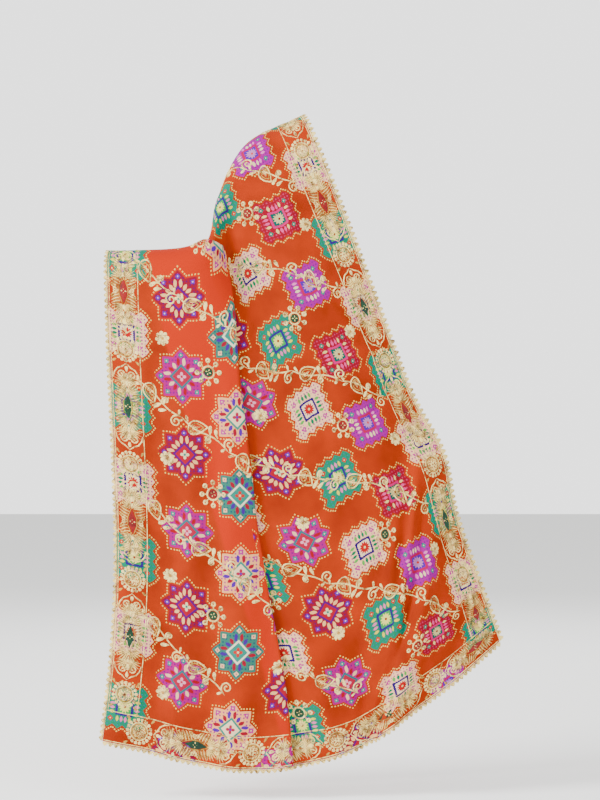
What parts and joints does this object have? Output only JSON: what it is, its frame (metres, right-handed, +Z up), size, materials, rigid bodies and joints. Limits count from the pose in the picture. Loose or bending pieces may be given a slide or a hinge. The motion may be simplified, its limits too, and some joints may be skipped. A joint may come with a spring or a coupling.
{
  "type": "dupatta",
  "caption": "Long embroidered georgette scarf draped over a shoulder and a bent forearm, with zigzag lace round its edges.",
  "frame": {"origin": "under the cloth at the top of the shoulder that holds it up, inside the crest", "axes": "+Z up, +X from the wrist edge towards the neck edge, -Y the side of the back fall that the picture shows"},
  "size_m": [0.8755, 0.3025, 1.4333],
  "materials": {
    "orange_georgette": "matte crepe georgette",
    "cream_lace": "matte thread with a little sheen"
  },
  "bodies": {
    "root": {"back_top": "orange_georgette", "back_middle": "orange_georgette", "back_fall": "orange_georgette", "arm_fall": "orange_georgette", "front_top": "orange_georgette", "front_fall": "orange_georgette", "front_arm_fall": "orange_georgette", "edging_neck_side": "cream_lace", "edging_wrist_side": "cream_lace", "edging_back_end": "cream_lace", "edging_front_end": "cream_lace"}
  },
  "joints": []
}
